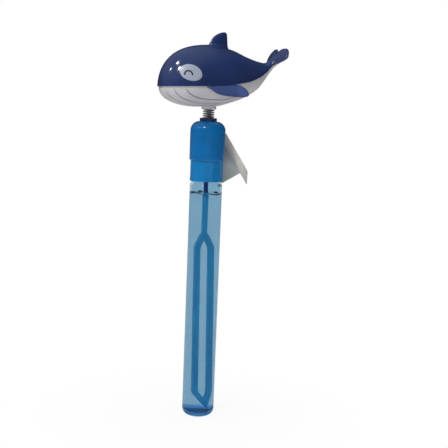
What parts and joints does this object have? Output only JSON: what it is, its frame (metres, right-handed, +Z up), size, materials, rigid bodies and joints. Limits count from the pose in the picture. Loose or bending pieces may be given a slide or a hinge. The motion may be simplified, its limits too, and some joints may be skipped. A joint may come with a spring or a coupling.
{
  "type": "bubble wand",
  "caption": "Clear upright tube for bubble solution, closed by a domed screw cap that holds a long looped dipping wand and carries a whale on a coil spring neck.",
  "frame": {"origin": "middle of the flat disc under the tube, on the tube's axis", "axes": "+Z up along the tube, -X the way the whale looks, -Y the whale's left side"},
  "size_m": [0.1209, 0.0734, 0.3594],
  "materials": {
    "clear_blue": "clear, glossy",
    "foam_white": "foamed, matte",
    "cap_blue": "satin gloss",
    "dome_blue": "satin gloss",
    "cup_navy": "satin gloss",
    "wand_blue": "satin gloss",
    "tag_card": "coated card",
    "spring_steel": "bright drawn wire",
    "plug_grey": "satin",
    "whale_navy": "satin paint",
    "belly_white": "satin paint",
    "eye_pale": "satin paint"
  },
  "bodies": {
    "tube": {"tube": "clear_blue"},
    "liner": {"cap_liner": "foam_white"},
    "cap": {"screw_cap": "cap_blue", "dome_cover": "dome_blue", "spring_cup": "cup_navy", "wand": "wand_blue", "hang_tag": "tag_card"},
    "spring": {"neck_spring": "spring_steel"},
    "whale": {"neck_plug": "plug_grey", "whale_back": "whale_navy", "whale_belly": "belly_white", "dorsal_fin": "whale_navy", "flipper_left": "whale_navy", "flipper_right": "whale_navy", "eye_patch_left": "eye_pale", "eye_patch_right": "eye_pale"}
  },
  "joints": [
    {"name": "cap_pull", "type": "slide", "parent": "tube", "child": "liner", "axis": [0, 0, 1], "range_m": [0, 0.24]},
    {"name": "cap_turn", "type": "hinge", "parent": "liner", "child": "cap", "pos_m": [0, 0, 0.2394], "axis": [0, 0, 1], "continuous": true},
    {"name": "whale_nod", "type": "hinge", "parent": "cap", "child": "spring", "pos_m": [0, 0, 0.283], "axis": [0, 1, 0], "range_deg": [-18, 18], "stiffness_Nm_per_rad": 0.15, "deforming": ["neck_spring"]},
    {"name": "whale_sway", "type": "hinge", "parent": "spring", "child": "whale", "pos_m": [0, 0, 0.287], "axis": [1, 0, 0], "range_deg": [-18, 18], "stiffness_Nm_per_rad": 0.15, "deforming": ["neck_spring"]}
  ]
}
